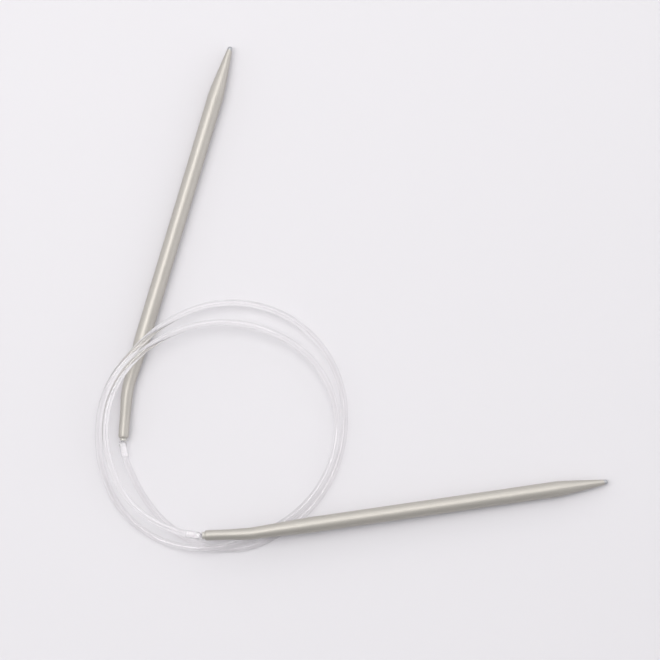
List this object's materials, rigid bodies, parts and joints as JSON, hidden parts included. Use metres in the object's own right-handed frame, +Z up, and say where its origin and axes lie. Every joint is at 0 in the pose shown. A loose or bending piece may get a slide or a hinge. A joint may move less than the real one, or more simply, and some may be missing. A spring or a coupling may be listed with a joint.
{
  "type": "circular knitting needle",
  "caption": "Circular knitting needle: two bent, pointed metal needles joined end to end by a coiled clear nylon cable.",
  "frame": {"origin": "centre of the needles' and joins' outline seen from above, on the surface they lie on", "axes": "+Z up from the surface; +X and +Y are the picture's right and up"},
  "size_m": [0.165, 0.1629, 0.0091],
  "materials": {
    "lacquered_aluminium": "satin pearl-grey lacquer",
    "ferrule_metal": "satin",
    "clear_nylon": "clear, glossy"
  },
  "bodies": {
    "cable": {"cable": "clear_nylon", "strain_relief_a": "clear_nylon", "strain_relief_b": "clear_nylon"},
    "join_a": {"cable_end_a": "clear_nylon"},
    "join_b": {"cable_end_b": "clear_nylon"},
    "needle_a": {"shank_a": "lacquered_aluminium", "ferrule_a": "ferrule_metal"},
    "needle_b": {"shank_b": "lacquered_aluminium", "ferrule_b": "ferrule_metal"}
  },
  "joints": [
    {"name": "needle_a_bend", "type": "hinge", "parent": "cable", "child": "join_a", "pos_m": [-0.07766, -0.04874, 0.0025], "axis": [0, 0, 1], "range_deg": [-6, 15], "stiffness_Nm_per_rad": 0.02},
    {"name": "needle_a_turn", "type": "hinge", "parent": "join_a", "child": "needle_a", "pos_m": [-0.0775, -0.0467, 0.0025], "axis": [-0.0802, -0.9968, 0], "range_deg": [0, 8], "stiffness_Nm_per_rad": 0.01},
    {"name": "needle_b_bend", "type": "hinge", "parent": "cable", "child": "join_b", "pos_m": [-0.05325, -0.07797, 0.00596], "axis": [0, 0, 1], "range_deg": [-8, 12], "stiffness_Nm_per_rad": 0.02},
    {"name": "needle_b_turn", "type": "hinge", "parent": "join_b", "child": "needle_b", "pos_m": [-0.0512, -0.0779, 0.0059], "axis": [0.999, 0.0349, -0.0297], "range_deg": [0, 20], "stiffness_Nm_per_rad": 0.01}
  ]
}
